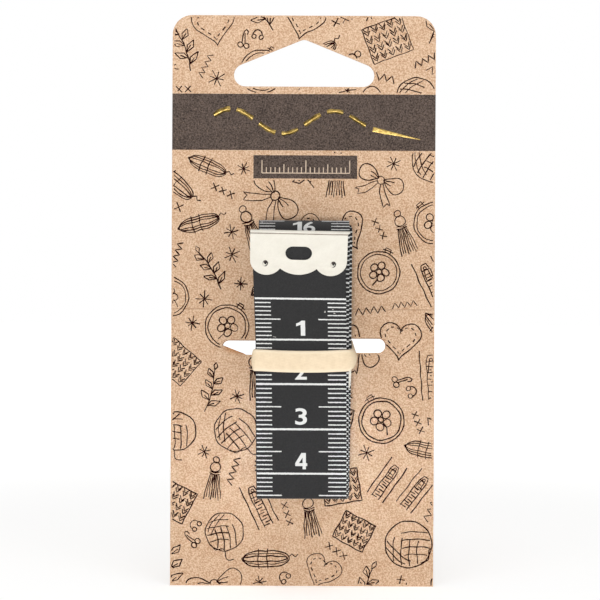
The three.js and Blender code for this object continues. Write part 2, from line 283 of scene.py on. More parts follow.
def makeThreadWeave():
    group, given, out = newGroup("threadWeave", {"Vector": None, "Threads": 2.0}, ["Height"])
    x, y, _ = split(given["Vector"])
    turns = times(given["Threads"], tau)
    feed(times(sine(times(x, turns)), sine(times(y, turns))), out["Height"])
    return group


paperGrain, inkCover, threadWeave = makePaperGrain(), makeInkCover(), makeThreadWeave()
print("shared effects: 3 groups")


# Camera and light

shot = {"place": (-0.68, -376.3, -59.32), "lens": 99, "sensor": 36, "roll": -0.3, "clip": (0.01, 20)}


def makeCamera():
    data = bpy.data.cameras.new("photoCamera")
    data.lens, data.sensor_width = shot["lens"], shot["sensor"]
    data.clip_start, data.clip_end = shot["clip"]
    camera = newObject("photoCamera", data)
    camera.location = Vector(shot["place"]) * mm
    camera.rotation_euler = (radians(90), radians(shot["roll"]), 0)
    bpy.context.scene.camera = camera


studio = {
    "floorRadius": 4.0, "floorGlow": (0.5, 0.96), "glowFrom": (0.12, 0.6),
    "floorTones": ((0.9, 0.9, 0.893, 1), (0.93, 0.93, 0.922, 1)),
    "worldLight": 0.26, "worldSeen": 1.0,
    "coolLight": (0.72, 0.88, 1.0), "coolSpread": 90,  # lamps with a narrower spread are cool
    "lamps": [  # name, place and aim in mm, width and height in mm, spread in degrees, watts
        ("frontBox", (-40, -760, -110), (0, 0, -70), (420, 420), 180, 1.22),
        ("nearBox", (-26, -430, -92), (0, 0, -78), (30, 30), 180, 0.52),
        ("leftBox", (-340, -600, 20), (0, 0, -70), (420, 420), 180, 0.34),
        ("rightBox", (340, -600, 20), (0, 0, -70), (420, 420), 180, 0.5),
        ("topBox", (0, -160, 520), (0, 0, -70), (420, 420), 180, 1.15),
        ("lowLeft", (-70, -330, -92), (-17, 0, -97), (12, 5), 8, 0.0005),
        ("lowRight", (70, -330, -92), (17, 0, -97), (12, 5), 8, 0.0005),
        ("sideLeft", (-31, -110, -91), (-12, 0, -91), (2, 28), 7.2, 0.00022),
        ("sideRight", (31, -110, -91), (12, 0, -91), (2, 28), 7.2, 0.0003),
    ],
}


def makeWorld(scene):  # white behind the part, softer as a light
    scene.world = scene.world or bpy.data.worlds.new("studioWhite")
    scene.world.use_nodes = True
    tree = scene.world.node_tree
    sky = tree.nodes["Background"].inputs
    sky["Color"].default_value = (1, 1, 1, 1)
    seen = addNode(tree, "LightPath").outputs["Is Camera Ray"]
    feed(remap(seen, 0, 1, studio["worldLight"], studio["worldSeen"]), sky["Strength"])


def makeLamp(name, place, target, extent, spread, watts):
    lamp = bpy.data.lights.new(name, "AREA")
    lamp.shape, lamp.size, lamp.size_y = "RECTANGLE", extent[0] * mm, extent[1] * mm
    lamp.energy, lamp.spread = watts, radians(spread)
    lamp.color = studio["coolLight"] if spread < studio["coolSpread"] else (1, 1, 1)
    obj = newObject(name, lamp)
    obj.location = Vector(place) * mm
    aim = Vector(target) - Vector(place)
    obj.rotation_euler = aim.to_track_quat("-Z", "Y").to_euler()
    obj.visible_camera = False


def makeFloor():
    sweep = addShape("paleFloor", bpy.ops.mesh.primitive_circle_add, vertices=96, radius=studio["floorRadius"],
                     fill_type="NGON", location=(0, 0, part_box("backing_card")[0].z))
    material, place, surface = newMaterial("paleSweep", 0.9)
    feed(mixColour(noise(place, 6.0, 2.0), *studio["floorTones"]), surface["Base Color"])
    surface["Emission Color"].default_value = (1, 1, 1, 1)
    away = joinNode("VectorMath", {0: place}, operation="LENGTH")["Value"]
    glow = remap(away, *studio["glowFrom"], *studio["floorGlow"], smooth=True)
    feed(glow, surface["Emission Strength"])
    wear(sweep, material)


bpy.context.scene.view_settings.view_transform = "Standard"
makeCamera()
makeWorld(bpy.context.scene)
for lampLine in studio["lamps"]:
    makeLamp(*lampLine)
makeFloor()
print("camera and studio set")


# Card

cardLook = {
    "light": (0.695, 0.505, 0.354, 1), "dark": (0.448, 0.26, 0.147, 1), "fibre": (0.34, 0.2, 0.118, 1),
    # core is the board's own colour at its cut edge; rim is the colour of the painted shadow above the slots
    "core": (0.57, 0.385, 0.25, 1), "rim": (0.2, 0.095, 0.045, 1),
    "ink": (0.024, 0.016, 0.0125, 1), "inkThin": (0.118, 0.084, 0.068, 1),
    "grain": 900.0, "toneRange": (0.4, 0.59), "inkRange": (0.39, 0.6), "relief": (0.35, 0.00006),
    "outline": (30, -124.5, 5.5), "corner": 4.5,  # half width, bottom, top and the top corners' radius, mm
    "strip": (-25.22, -12.4),  # z of the dark strip across the card, mm
    "label": (-11.45, 12.2, -31.65, -26.35),  # x and z of the small dark label, mm
    "printDepth": -0.28, "cutDepth": 0.285,  # y in front of which it is printed, and half of its cut edge, mm
    "crease": (-61.44, 0.13),  # z and half width of the pressed line across the card, mm; it is bumped as a groove and painted darker as shade
    "slots": [(-16.7, -10.6, -70.25, 1.6), (11.1, 17.2, -69.7, 1.6)],  # x, x, z and radius, mm
    "slotShade": (0.1, 0.32),  # mm of painted shadow along the upper edge of a slot
    "hole": [(-13.4, -8.1, 2.6), (13.4, -8.1, 2.6), (0, -2.0, 2.0)],  # x, z and radius of its corners, mm
    "leftSlot": (-20, -8, -72.5, -67),  # x and z round the left slot, mm
    "slotMove": (0.5, -0.55),  # the left slot is cut a little lower than the right one
}


def boardTone(grain, look):
    return mixColour(remap(grain["Tone"], *cardLook["toneRange"]), look["dark"], look["light"])


def makeKraft():
    material, place, surface = newMaterial("kraftBoard", 0.88, 0.25)
    grain = useGroup(paperGrain, Vector=place, Size=cardLook["grain"])
    board = mixColour(times(grain["Fibre"], 0.5), boardTone(grain, cardLook), cardLook["fibre"])
    x, y, z = split(place)
    creaseZ, half = cardLook["crease"]
    creaseGrooveAndShade = over(absolute(minus(z, creaseZ * mm)), half * mm)
    creaseGrooveAndShade = remap(creaseGrooveAndShade, 0.4, 1.6, 1.0, 0.0, smooth=True)
    # painted shade along the pressed line: the board is darkened towards the fibre colour
    board = mixColour(times(creaseGrooveAndShade, 0.55), board, cardLook["fibre"])
    # painted shadow: the board darkens towards each slot's upper edge, above the slot only
    for first, last, slotZ, radius in cardLook["slots"]:
        near, far = cardLook["slotShade"]
        beside = minus(x, least(most(x, first * mm), last * mm))
        above = minus(z, slotZ * mm)
        away = squareRoot(plus(times(beside, beside), times(above, above)))
        cut = remap(away, (radius + near) * mm, (radius + far) * mm, 0.6, 0.0, smooth=True)
        board = mixColour(times(cut, moreThan(above, 0.0)), board, cardLook["rim"])
    low, high = cardLook["strip"]
    left, right, bottom, top = cardLook["label"]
    strip = between(z, low * mm, high * mm)
    label = times(between(x, left * mm, right * mm), between(z, bottom * mm, top * mm))
    printed = times(most(strip, label), lessThan(y, cardLook["printDepth"] * mm))
    cover = useGroup(inkCover, Vector=place, Size=4200.0, Loss=0.27)["Cover"]
    ink = mixColour(remap(grain["Tone"], *cardLook["inkRange"]), cardLook["ink"], cardLook["inkThin"])
    ink = mixColour(times(minus(1.0, cover), 0.25), ink, board)
    edge = between(y, -cardLook["cutDepth"] * mm, cardLook["cutDepth"] * mm)
    board = mixColour(times(edge, 0.7), board, cardLook["core"])
    coat(surface, mixColour(printed, board, ink), remap(printed, 0, 1, 0.9, 0.72),
         bump(minus(grain["Height"], creaseGrooveAndShade), *cardLook["relief"]))
    return material


def makeCard():
    obj = copyOfNode("kraftCard", "backing_card")
    left, right, bottom, top = cardLook["leftSlot"]
    across, up = cardLook["slotMove"]

    def atSlot(corner):
        return left < corner.co.x / mm < right and bottom < corner.co.z / mm < top

    editParts(obj, bpy.ops.transform.translate, atSlot, "VERT", value=(across * mm, 0, up * mm))
    wear(obj, makeKraft())
    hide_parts("backing_card")
    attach(obj, "card")
    print("card:", len(obj.data.polygons), "faces")


makeCard()


# Bent lip of board at the left slot

lip = {
    "rim": [(-18.36, -69.85), (-18.3, -70.7), (-17.9, -71.4), (-17.2, -71.84), (-16.2, -71.97), (-14.2, -71.97),
            (-12.6, -71.97)],
    "free": [(-13.5, -71.5), (-14.7, -71.06), (-15.9, -70.6), (-17.1, -70.13), (-18.2, -69.7)],
    "thickness": 0.45, "round": 0.06, "hem": 0.1, "bend": 0.55,  # mm behind the face at its rim and free edge
    # tones of the bent lip: painted shade, darker than the flat board and darkest at its free edge
    "light": (0.56, 0.3, 0.145, 1), "dark": (0.4, 0.185, 0.08, 1),
}


def makeBentBoard():
    material, place, surface = newMaterial("bentBoard", 0.9, 0.2)
    grain = useGroup(paperGrain, Vector=place, Size=cardLook["grain"])
    # painted shade: the lip turns darker towards its bent free edge
    bentLipShade = remap(cornerValue(material, "bent"), 0.1, 0.8)
    coat(surface, mixColour(bentLipShade, boardTone(grain, cardLook), boardTone(grain, lip)),
         remap(grain["Tone"], 0.4, 0.6, 0.95, 0.82), bump(grain["Height"], *cardLook["relief"]))
    return material


def makeSlotLip():
    outline, rimCount = lip["rim"] + lip["free"], len(lip["rim"])
    obj = addShape("slotLip", bpy.ops.mesh.primitive_circle_add, vertices=len(outline), radius=mm,
                   fill_type="NGON", rotation=(pi / 2, 0, 0))
    for i, (corner, (x, z)) in enumerate(zip(obj.data.vertices, outline)):
        back = lip["bend"] if i >= rimCount else lip["hem"]
        corner.co = Vector((x, cardFront + back, z)) * mm
    # 1 at the free edge, where the painted shade is darkest
    addValues(obj, "bent", [0.0] * rimCount + [1.0] * len(lip["free"]))
    editParts(obj, bpy.ops.mesh.quads_convert_to_tris)
    editParts(obj, bpy.ops.mesh.normals_make_consistent, inside=False)
    if sum(face.normal.y for face in obj.data.polygons) > 0:
        editParts(obj, bpy.ops.mesh.flip_normals)
    addModifier(obj, "SOLIDIFY", thickness=lip["thickness"] * mm, offset=-1)
    addModifier(obj, "BEVEL", width=lip["round"] * mm, segments=2, limit_method="ANGLE")
    smoothShade(obj, 35)
    wear(obj, makeBentBoard())
    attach(obj, "card")


makeSlotLip()
print("slot lip: done")


# Line art on the card

art = {
    "stroke": 0.305, "proud": 0.02, "step": 0.5, "clear": 1.25, "margin": 0.25, "fill": 0.9,  # mm
    "large": (90, (0.95, 1.2), 55), "small": (130, (0.7, 0.95), 90),  # how many, scales, lean in degrees
    "tries": 70, "seed": 23, "weights": (0.7, 1.1), "sway": (0.04, 0.09),
    "reach": (31, -126, 7),  # half width, bottom and top of where motifs may lie, mm
    "ink": (0.017, 0.003, 0.003, 1), "inkThin": (0.063, 0.024, 0.018, 1),
}


def spun(a, b, turn):
    return a * cos(turn) - b * sin(turn), a * sin(turn) + b * cos(turn)


def ring(cx, cz, rx, rz=None, start=0, stop=360, steps=28):
    rz = rx if rz is None else rz
    angles = [radians(start + (stop - start) * i / steps) for i in range(steps + 1)]
    return [(cx + rx * cos(a), cz + rz * sin(a)) for a in angles]


def yarnBall():
    lines = [ring(0, 0, 4.5)]
    for angle, first, last, offsets in ((35, -0.95, 0.25, (-0.55, -0.2, 0.15, 0.5)),
                                        (-40, -0.3, 0.95, (-0.6, -0.28, 0.05, 0.38)),
                                        (95, -0.6, 0.9, (0.42, 0.66))):
        for offset in offsets:
            half = sqrt(1 - offset * offset)
            shares = [first + (last - first) * i / 14 for i in range(15)]
            line = [spun(4.4 * half * u, 4.4 * (offset + 0.16 * (1 - u * u)), radians(angle)) for u in shares]
            lines.append([p for p in line if hypot(*p) < 4.5])
    lines.append([(-1 + 0.5 * i, -4.3 - 0.7 * sin(i * 0.75) * min(1, i / 4)) for i in range(14)])
    return lines


def bow():
    lobe = [i / 26 * tau for i in range(27)]
    half = [[(0.6 + 2.5 - 2.5 * cos(a), 2.5 * sin(a) * sin(a / 2) + 0.3) for a in lobe],
            [(0.9, 0.35), (2.1, 0.75), (3.1, 0.8)], [(0.9, 0.0), (2.0, -0.15), (2.7, -0.1)],
            [(0.3, -0.85), (1.0, -2.6), (2.0, -4.0), (3.4, -5.3), (3.7, -4.2), (4.7, -4.4), (3.0, -2.9),
             (1.9, -1.7), (0.75, -0.5)]]
    return [ring(0, 0, 0.85, 0.95)] + [[(side * x, z) for x, z in line] for side in (-1, 1) for line in half]


def heart():
    def outline(scale):
        angles = [i / 36 * tau for i in range(37)]
        return [(scale * sin(a) ** 3,
                 scale * (13 * cos(a) - 5 * cos(2 * a) - 2 * cos(3 * a) - cos(4 * a)) / 16) for a in angles]
    inner = outline(3.1)
    return [outline(4.2)] + [inner[i:i + 2] for i in range(0, 36, 2)]


def hoop():
    lines = [ring(0, 0, 4.7), ring(0, 0, 4.05), [(-0.6, 4.7), (-0.6, 5.7), (0.6, 5.7), (0.6, 4.7)],
             [(-1.2, 5.2), (1.2, 5.2)], ring(0, 0.2, 0.55, steps=12)]
    for i in range(5):
        a = radians(90 + 72 * i)
        lines.append(ring(1.45 * cos(a), 0.2 + 1.45 * sin(a), 0.8, steps=16))
    return lines + [[(0.1, -0.4), (0.3, -1.8), (-0.2, -3.2)]]


def hookAndEye():
    return [ring(-1.6, -2.2, 0.8, steps=16), ring(0.2, -2.2, 0.8, steps=16),
            [(-1.2, -1.5), (-1.1, 0.4), (-0.9, 2.0), (-0.3, 2.7), (0.3, 2.2), (0.2, 1.2)],
            [(-0.3, -1.5), (-0.45, 0.4), (-0.55, 1.6)],
            ring(2.2, 0.9, 0.65, steps=14), ring(4.4, 0.9, 0.65, steps=14), ring(3.3, 1.3, 1.5, 1.7, 10, 170)]


def star():
    lines = []
    for i in range(4):
        x, z = spun(1.7 if i % 2 else 2.2, 0, radians(45 * i + 8))
        lines.append([(-x, -z), (x, z)])
    return lines


def zigzag():
    return [[(-4 + i, 0.9 if i % 2 else -0.9) for i in range(9)]]


def crosses():
    return [[(x - 0.9, -up), (x + 0.9, up)] for x in (-2.6, 0, 2.6) for up in (0.9, -0.9)]


def skein():
    angles = [i / 32 * tau for i in range(33)]
    lines = [[(4.6 * cos(a) + 0.3 * k, k * sin(a) * (0.8 + 0.2 * abs(cos(a)))) for a in angles]
             for k in (0.65, 1.3, 1.95)]
    return lines + [[(-0.9, -2.0), (-1.1, 0), (-0.9, 2.0)], [(0.9, -2.0), (0.7, 0), (0.9, 2.0)],
                    [(5.0, 0.2), (5.8, 0.9), (6.4, 0.3), (7.0, 0.8)]]


def sprig():
    lines = [[(0.5 * sin(i * 0.35), -5 + i) for i in range(11)]]
    for i, side in enumerate((1, -1, 1, -1, 1, -1)):
        z, x = -3.6 + 1.35 * i, 0.5 * sin((1.4 + 1.35 * i) * 0.35)
        tip = (x + side * (2.7 - 0.2 * i), z + 1.9)
        lines += [[(x, z), (x + side * 0.6, z + 1.4), tip], [(x, z), (x + side * 1.7, z + 0.5), tip],
                  [(x, z), (x + side * 1.4, z + 1.05)]]
    return lines + [[(-0.2, 5), (-0.6, 6), (-0.15, 6.9), (0.3, 6), (-0.2, 5)]]


def tassel():
    lines = [ring(0, 4.6, 0.7, steps=16), ring(0, 2.9, 1.15, 1.1, steps=20),
             [(-1.2, 1.9), (0, 1.6), (1.2, 1.9)], [(-1.15, 1.45), (0, 1.15), (1.15, 1.45)]]
    for i in range(8):
        spread = (i - 3.5) / 3.5
        lines.append([(spread * 0.9, 1.3), (spread * 1.5, -1.4), (spread * 1.9, -4.2 - 0.3 * cos(i * 2.1))])
    return lines


def zipper():
    lines = [[(x, -5), (x, top)] for x, top in ((-0.9, 2.2), (0.9, 2.2), (-2.1, 4.4), (2.1, 4.4))]
    for i in range(11):
        side, z = 1 if i % 2 else -1, -4.7 + 0.6 * i
        lines.append([(side * 0.9, z), (-side * 0.35, z)])
    return lines + [[(-0.9, 2.2), (-0.5, 3.4), (0.5, 3.4), (0.9, 2.2), (-0.9, 2.2)],
                    ring(0, 2.6, 0.3, steps=10), [(-0.35, 2.4), (-0.6, 0.2), (0.6, 0.2), (0.35, 2.4)]]


def knitSwatch():
    lines = [[(-4, -3.6), (4, -3.6), (4, 3.4), (-4, 3.4), (-4, -3.6)]]
    for row in range(4):
        for column in range(5):
            x = -3.2 + 1.6 * column
            for z in (-2.7 + 1.7 * row, -3.25 + 1.7 * row):
                lines.append([(x - 0.6, z + 0.9), (x, z), (x + 0.6, z + 0.9)])
    return lines


def insideHole(x, z, margin):
    corners, leftOf = cardLook["hole"], []
    for (ax, az, ar), (bx, bz, br) in zip(corners, corners[1:] + corners[:1]):
        leftOf.append((bx - ax) * (z - az) > (bz - az) * (x - ax))
        t = ((x - ax) * (bx - ax) + (z - az) * (bz - az)) / ((bx - ax) ** 2 + (bz - az) ** 2)
        t = min(1, max(0, t))
        if hypot(x - ax - t * (bx - ax), z - az - t * (bz - az)) < ar + t * (br - ar) + margin:
            return True
    return all(leftOf) or not any(leftOf)


def printable(x, z):  # on the bare board, clear of its edges, holes and dark prints
    margin, corner = art["margin"], cardLook["corner"]
    half, foot, head = cardLook["outline"]
    if abs(x) > half - margin or z > head - margin or z < foot + margin:
        return False
    aside, up = abs(x) - (half - corner), z - (head - corner)
    if aside > 0 and up > 0 and hypot(aside, up) > corner - margin:
        return False
    low, high = cardLook["strip"]
    left, right, bottom, top = cardLook["label"]
    inLabel = left - margin < x < right + margin and bottom - margin < z < top + margin
    if inLabel or low - margin < z < high + margin:
        return False
    for first, last, slotZ, radius in cardLook["slots"]:
        if hypot(x - min(last, max(first, x)), z - slotZ) < radius + margin:
            return False
    return not insideHole(x, z, margin)


def sampled(line, step):  # evenly spaced points along a line
    out = [line[0]]
    for (ax, az), (bx, bz) in zip(line, line[1:]):
        count = max(1, ceil(hypot(bx - ax, bz - az) / step))
        out += [(ax + (bx - ax) * i / count, az + (bz - az) * i / count) for i in range(1, count + 1)]
    return out


def strokesOfMotif(lines, x, z, angle, scale):
    strokes = []
    for line in lines:
        phase, sway = rng.uniform(0, 6.28), rng.uniform(*art["sway"])
        stroke = []
        for a, b in sampled(line, art["step"] / scale):
            a, b = spun(a, b, radians(angle))
            px, pz = x + scale * a, z + scale * b
            px, pz = px + sway * sin(pz * 1.7 + phase), pz + sway * sin(px * 1.9 + phase)
            if printable(px, pz):
                stroke.append((px, pz))
            elif stroke:
                strokes.append(stroke)
                stroke = []
        strokes.append(stroke)
    return [s for s in strokes if len(s) > 1]


def strokesToMesh(name, strokes, width, proud, weights):  # flat raised strokes on the card's face
    data = bpy.data.curves.new(name, "CURVE")
    data.dimensions = "3D"
    data.bevel_depth, data.bevel_resolution = width / 2 * mm, 0
    data.use_fill_caps = True
    for stroke in strokes:
        spline = data.splines.new("POLY")
        spline.points.add(len(stroke) - 1)
        weight = rng.uniform(*weights)
        for i, (point, (x, z)) in enumerate(zip(spline.points, stroke)):
            point.co = (x * mm, 0, z * mm, 1)
            point.radius = weight * (0.88 + 0.12 * sin(i * 0.9 + x))
    pick(newObject(name, data))
    bpy.ops.object.convert(target="MESH")
    obj = bpy.context.object
    applyPlace(obj, scale=(1, 2 * proud / width, 1), location=(0, cardFront * mm, 0))
    return obj


def makeInk(name, colour, thin, loss, scale, rough, shine=0.5):
    material, place, surface = newMaterial(name, rough, shine)
    cover = useGroup(inkCover, Vector=place, Size=scale, Loss=loss)["Cover"]
    coat(surface, mixColour(cover, thin, colour), remap(cover, 0, 1, min(1.0, rough + 0.12), rough))
    return material


def motifPoints(lines, x, z, angle, scale):  # a motif's outline on the card, and points that fill its inside
    spots = []
    for share in (1.0, 0.62, 0.25):
        for line in lines:
            for a, b in sampled(line, art["fill"] / scale):
                a, b = spun(a * share * scale, b * share * scale, radians(angle))
                spots.append((x + a, z + b))
    return spots


def isClear(cells, taken):  # no point of another motif near these
    near = [(i, j) for i in (-1, 0, 1) for j in (-1, 0, 1)]
    return all(hypot(px - qx, pz - qz) > art["clear"] for px, pz, i, j in cells for di, dj in near
               for qx, qz in taken.get((i + di, j + dj), ()))


def placeMotifs(kinds, count, scales, lean, taken, dice):  # each motif where it clears the ones before
    clear, placed = art["clear"], []
    half, low, high = art["reach"]
    for i in range(count):
        motif = kinds[i % len(kinds)]()
        angle, scale = dice.uniform(-lean, lean), dice.uniform(*scales)
        for _ in range(art["tries"]):
            x, z = dice.uniform(-half, half), dice.uniform(low, high)
            cells = [(px, pz, floor(px / clear), floor(pz / clear))
                     for px, pz in motifPoints(motif, x, z, angle, scale) if abs(px) < half and low < pz < high]
            if isClear(cells, taken):
                for px, pz, column, row in cells:
                    taken.setdefault((column, row), []).append((px, pz))
                placed.append((motif, x, z, angle, scale))
                break
    return placed


def makeLineArt():
    dice, taken = random.Random(art["seed"]), {}
    large = [yarnBall, tassel, hoop, bow, skein, heart, sprig, knitSwatch, zipper]
    small = [star, crosses, hookAndEye, zigzag]
    placed = placeMotifs(large, *art["large"], taken, dice) + placeMotifs(small, *art["small"], taken, dice)
    strokes = [stroke for motif in placed for stroke in strokesOfMotif(*motif)]
    obj = strokesToMesh("cardLineArt", strokes, art["stroke"], art["proud"], art["weights"])
    wear(obj, makeInk("brownInk", art["ink"], art["inkThin"], 0.25, 5200.0, 0.7, 0.0))
    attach(obj, "card")
    print("line art:", len(placed), "motifs,", len(strokes), "strokes,", len(obj.data.polygons), "faces")


makeLineArt()


# Foil stitching on the dark strip, pale ticks on the label

foil = {
    "width": 1.35, "proud": 0.03, "halfSpan": 20.5, "middle": -18.75, "swing": 3.0,  # mm
    "waves": 1.75, "phase": 0.5, "fade": 0.25, "dash": 3.7, "gap": 1.45, "weights": (0.8, 1.0),
    "needleRoom": 6, "needleGap": 0.2, "needleRadius": 0.72, "needleLength": 11, "needleRound": 0.15,  # mm
    "point": 0.08, "eye": 0.8, "needleTurn": 0.5,  # shares of its width and of the thread's slope
    "light": (0.54, 0.385, 0.125, 1), "dark": (0.25, 0.16, 0.042, 1),
}


def stitchLine(x):  # the thread's height on the strip
    share = (x + foil["halfSpan"]) / (2 * foil["halfSpan"])
    wave = sin(share * tau * foil["waves"] + foil["phase"])
    return foil["middle"] + foil["swing"] * wave * (1 - foil["fade"] * share)


def makeGold():
    material, place, surface = newMaterial("goldFoil", 0.3, Metallic=1.0)
    flecks = noise(place, 1500.0, 3.0, 0.7)
    grain = useGroup(paperGrain, Vector=place, Size=1200.0)
    coat(surface, mixColour(remap(flecks, 0.35, 0.65), foil["dark"], foil["light"]),
         remap(flecks, 0.3, 0.7, 0.5, 0.24), bump(grain["Height"], 0.6, 0.00008))
    return material


def makeStitches(gold):
    strokes = []
    x = -foil["halfSpan"]
    while x < foil["halfSpan"] - foil["needleRoom"]:
        places = [x + foil["dash"] * i / 8 for i in range(9)]
        strokes.append([(spot, stitchLine(spot)) for spot in places])
        x += foil["dash"] + foil["gap"]
    obj = strokesToMesh("foilStitches", strokes, foil["width"], foil["proud"], foil["weights"])
    wear(obj, gold)
    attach(obj, "card")
    return x


def makeNeedle(gold, x):  # the needle that draws the thread
    heading = atan2(stitchLine(x + 0.5) - stitchLine(x - 0.5), 1.0) * foil["needleTurn"]
    needle = addShape("foilNeedle", bpy.ops.mesh.primitive_cylinder_add, vertices=12,
                      radius=foil["needleRadius"] * mm, depth=foil["needleLength"] * mm, rotation=(0, pi / 2, 0))
    for end, share in ((1, foil["point"]), (-1, foil["eye"])):
        editParts(needle, bpy.ops.transform.resize, lambda corner: corner.co.x * end > 0, "VERT",
                  value=(1, share, share))
    addModifier(needle, "BEVEL", width=foil["needleRound"] * mm, segments=2, limit_method="ANGLE")
    half, start = foil["needleLength"] / 2, x + foil["needleGap"]
    middle = Vector((start + half * cos(heading), cardFront, stitchLine(x) + half * sin(heading)))
    applyPlace(needle, scale=(1, foil["proud"] / foil["needleRadius"], 1), rotation_euler=(0, -heading, 0),
               location=middle * mm)
    smoothShade(needle, 40)
    wear(needle, gold)
    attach(needle, "card")


labelTicks = {
    "first": -9.5, "last": 10.5, "pitch": 1.0, "foot": -30.4, "short": 1.3, "half": 2.0, "long": 2.9,  # mm
    "width": 0.28, "proud": 0.02, "ink": (0.70, 0.545, 0.41, 1), "inkThin": (0.42, 0.31, 0.22, 1),
}


def makeLabelTicks():
    first, last, foot = labelTicks["first"], labelTicks["last"], labelTicks["foot"]
    strokes = []
    for i in range(round((last - first) / labelTicks["pitch"]) + 1):
        x = first + i * labelTicks["pitch"]
        tall = labelTicks["short" if i % 5 else "half" if i % 10 else "long"]
        strokes.append([(x, foot), (x, foot + tall)])
    strokes.append([(first, foot), (last, foot)])
    obj = strokesToMesh("labelTicks", strokes, labelTicks["width"], labelTicks["proud"], (1.0, 1.0))
    wear(obj, makeInk("paleInk", labelTicks["ink"], labelTicks["inkThin"], 0.3, 5200.0, 0.7))
    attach(obj, "card")


goldFoil = makeGold()
makeNeedle(goldFoil, makeStitches(goldFoil))
makeLabelTicks()
print("strip and label: foil stitches and ticks")


# Tape: one strip folded to and fro. Its line is (w, z): mm in front of the card, mm above the band's centre.

tape = {
    "width": 20, "thickness": 0.3, "innerLayer": 21, "secondLayer": 22, "frontLayer": 23,
    "firstDepth": 0.475, "lastEven": 9.435, "tipDepths": (10.555, 11.675, 12.795),
    "foot": -30.9, "taper": 0.25, "reach": 30.5, "puff": 3.2, "puffPower": 1.4,
    "domeBase": 25.525, "domeHeight": 5.2, "domePower": 1.08, "domeSkew": 1.92, "domeRoom": 0.55,
    "headProbe": 2,  # mm above the dome's base where the depth of an inner fold is taken
    "root": 4.4, "bend": 3.2, "flare": radians(26), "freeLength": 26.3, "tipHalf": 0.575,
    "innerTop": 2.4, "innerFoot": -8.3, "innerRise": 0.6, "innerTurn": 0.05, "innerShift": 0.58,
    "lean": (-0.42, -1.05), "tipShift": -0.92,  # sideways place of the front layer and of the free end's tip
    "turn": 0.017, "askewReach": 30,  # how far the free end stands askew, and to which length
    "topShift": 0.14,  # sideways place of the turn over the top
    "shiftRange": (0.2, 0.66), "frontShifts": [0.6, 0.68, 0.78, 0.36, 0.14],  # of single layers
    "footShare": 0.65, "frontFeet": [0.4, 0.43, 0.5, 0.2, 0.24, -0.145],  # they lie straighter at the foot
    "dropRange": (0, 0.5), "frontDrop": 0.1,  # how much shorter single folds are
    "zeroMark": 16.05,  # mm from the tip to the start of the scale
    "crestMark": (16, 5.3),  # a mark of the back scale, and mm from it to the crest
    "freeSteps": 40, "bendSteps": 14, "domeSteps": 56, "foldSteps": 8, "endSteps": 8,
    "pitch": 1.5, "finePitch": 0.4,  # mm between stations
    "cutEdge": (0.48, 0.5, 50), "backScale": 200,  # where the marks of the cut edges and the back start
}
frontLayer, secondLayer, innerLayer = tape["frontLayer"], tape["secondLayer"], tape["innerLayer"]
evenDepth = tape["lastEven"] - tape["firstDepth"]
tapeDepths = [tape["firstDepth"] + evenDepth * i / (innerLayer - 1) for i in range(innerLayer)]
tapeDepths += list(tape["tipDepths"])
tapeDice = random.Random(7)
layerShift = [tapeDice.uniform(*tape["shiftRange"]) for _ in tapeDepths]
layerShift[0] = tape["topShift"]
layerShift[-6:] = tape["frontShifts"] + [tape["lean"][0]]
footShift = [tape["footShare"] * shift for shift in layerShift]
footShift[-6:] = tape["frontFeet"]
foldDrop = [tapeDice.uniform(*tape["dropRange"]) for _ in tapeDepths]
foldDrop[-5:] = [tape["frontDrop"], tape["frontDrop"], foldDrop[innerLayer], 0, 0]


def sideAt(layer, z):
    return layerShift[layer] + (footShift[layer] - layerShift[layer]) * min(z, 0) / tape["foot"]


def depthAt(layer, z):  # the layers close up below the band and puff out above it
    share, out = min(z, 0) / tape["reach"], tapeDepths[layer] - tapeDepths[0]
    loose = 0 if layer == frontLayer else tape["puff"] / (tapeDepths[secondLayer] - tapeDepths[0])
    puffed = loose * (max(z, 0) / tape["domeBase"]) ** tape["puffPower"]
    return tapeDepths[0] + out * (1 - tape["taper"] * share * share + puffed)


def footHeight(layer, other):
    half = abs(depthAt(layer, tape["foot"]) - depthAt(other, tape["foot"])) / 2
    return tape["foot"] + tape["thickness"] / 2 + half + foldDrop[layer]


domeFront = depthAt(secondLayer, tape["domeBase"])
domeDeep = domeFront - tapeDepths[0]


def roofAt(w):
    back, power = min(1, max(0, (domeFront - w) / domeDeep)), tape["domePower"]
    return tape["domeHeight"] * (1 - abs(1 - 2 * back ** (1 / tape["domeSkew"])) ** power) ** (1 / power)


def headHeight(layer):  # tops of the inner folds, under the turn over the top
    base, room = tape["domeBase"], tape["domeRoom"]
    w = depthAt(layer, base + tape["headProbe"])
    return base + min(roofAt(w - room), roofAt(w + room)) - room - foldDrop[layer]


def leaf(layer, start, stop, pitch=tape["pitch"], endShift=None):  # one layer between two folds
    count = max(2, ceil(abs(stop - start) / pitch))
    line = []
    for i in range(count + 1):
        z = start + (stop - start) * i / count
        side = sideAt(layer, z)
        if endShift is not None:
            side += (endShift - side) * max(z, 0) / stop
        line.append((depthAt(layer, z), z, side))
    return line


def fold(layer, other, z, way):  # the turn from one layer to the next, up or down
    start, end, steps = depthAt(layer, z), depthAt(other, z), tape["foldSteps"]
    half, line = (end - start) / 2, []
    for i in range(1, steps):
        angle = pi * i / steps
        line.append((start + half * (1 - cos(angle)), z + way * abs(half) * sin(angle),
                     sideAt(layer, z) + (sideAt(other, z) - sideAt(layer, z)) * i / steps))
    return line


